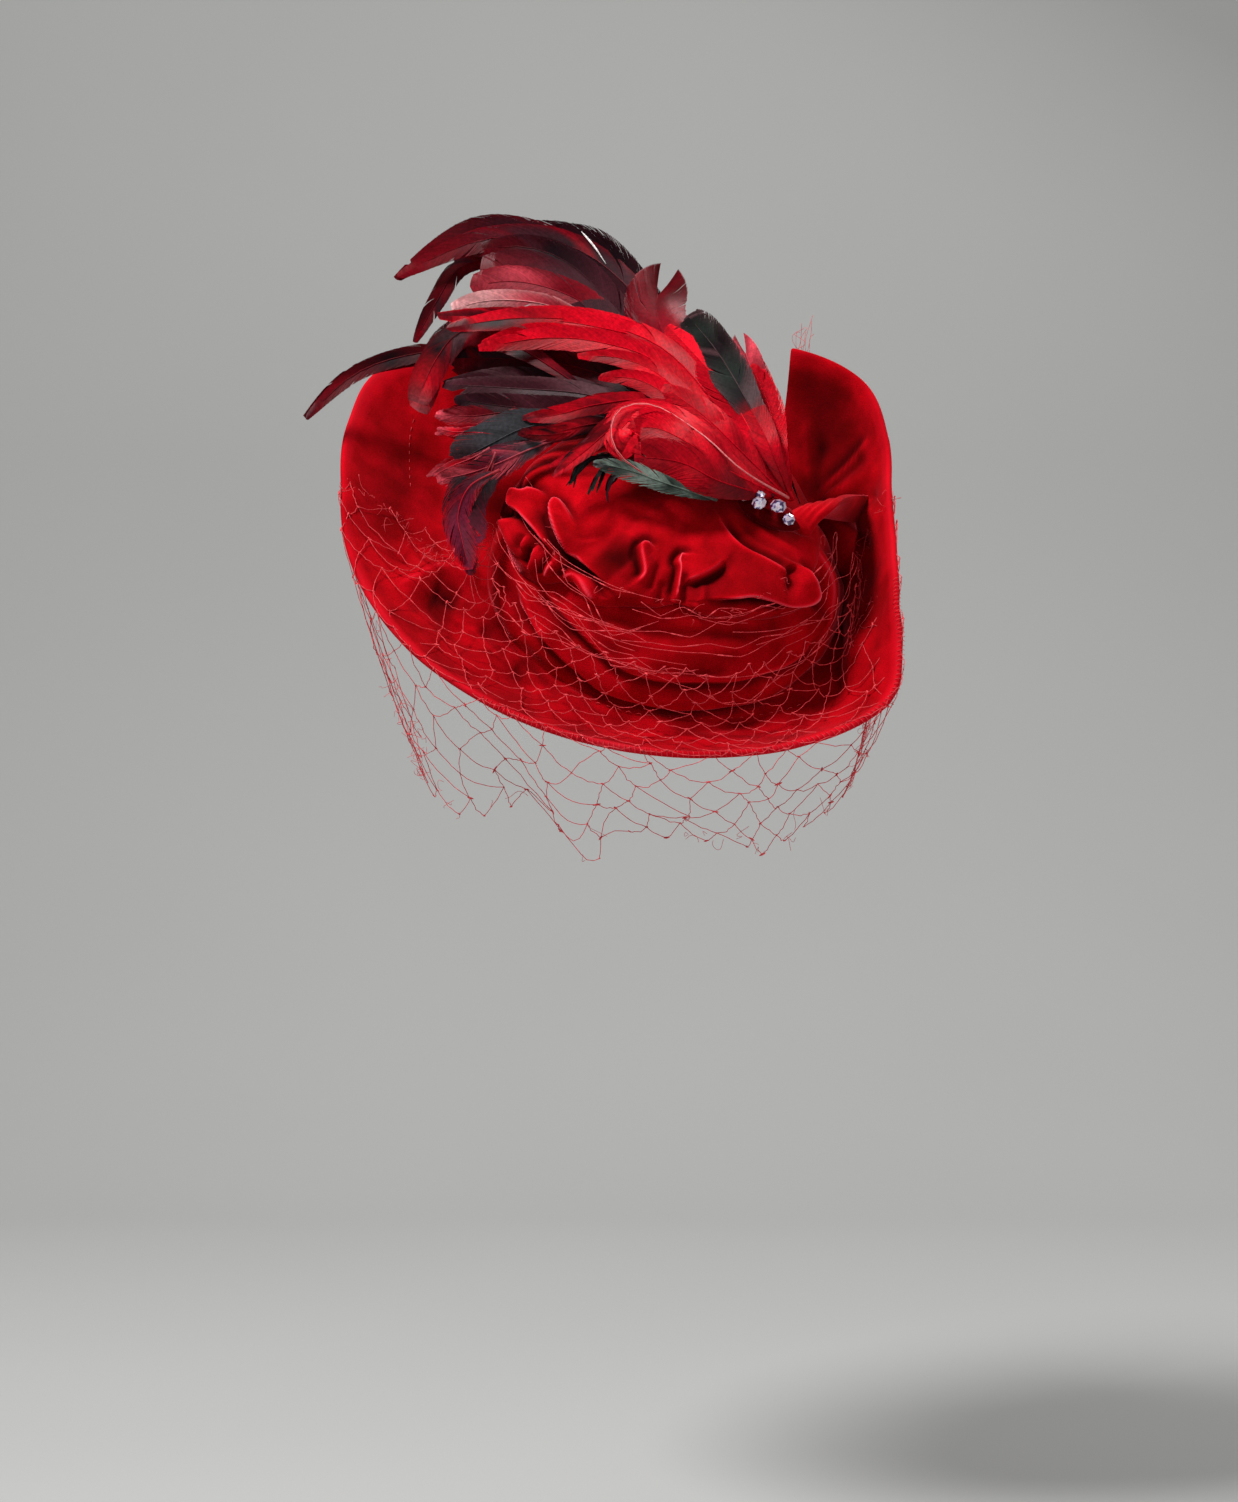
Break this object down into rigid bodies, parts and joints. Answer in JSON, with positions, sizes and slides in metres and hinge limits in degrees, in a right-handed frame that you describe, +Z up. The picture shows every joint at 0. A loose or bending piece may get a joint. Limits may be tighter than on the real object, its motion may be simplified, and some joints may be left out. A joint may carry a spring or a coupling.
{
  "type": "velvet tilt hat with feather plume and veil",
  "caption": "Forward-tilted velvet hat with a wide upturned brim slit at the back, a draped drum crown, a swept feather plume, crystal trim and a diamond-net face veil.",
  "frame": {"origin": "middle of the crown's head opening, where the hat sits on the head", "axes": "+Z up as worn, -Y the way the wearer faces, +X to the wearer's left; the hat is tilted 45 degrees forwards and 10 degrees to its side about the origin"},
  "size_m": [0.2513, 0.1536, 0.281],
  "materials": {
    "velvet_brim": "silk velvet with a short pile",
    "velvet_crown": "silk velvet with a short pile",
    "velvet_drape": "silk velvet with a short pile",
    "feathers": "dyed and natural cock feathers with a sheen",
    "crystal": "cut and polished glass",
    "net": "fine knotted thread"
  },
  "bodies": {
    "root": {"brim": "velvet_brim", "crown": "velvet_crown", "crown_drape": "velvet_drape", "side_knot": "velvet_brim", "feather_plume": "feathers", "crystal_1": "crystal", "crystal_2": "crystal", "crystal_3": "crystal", "crystal_4": "crystal", "crystal_5": "crystal", "veil": "net"}
  },
  "joints": []
}
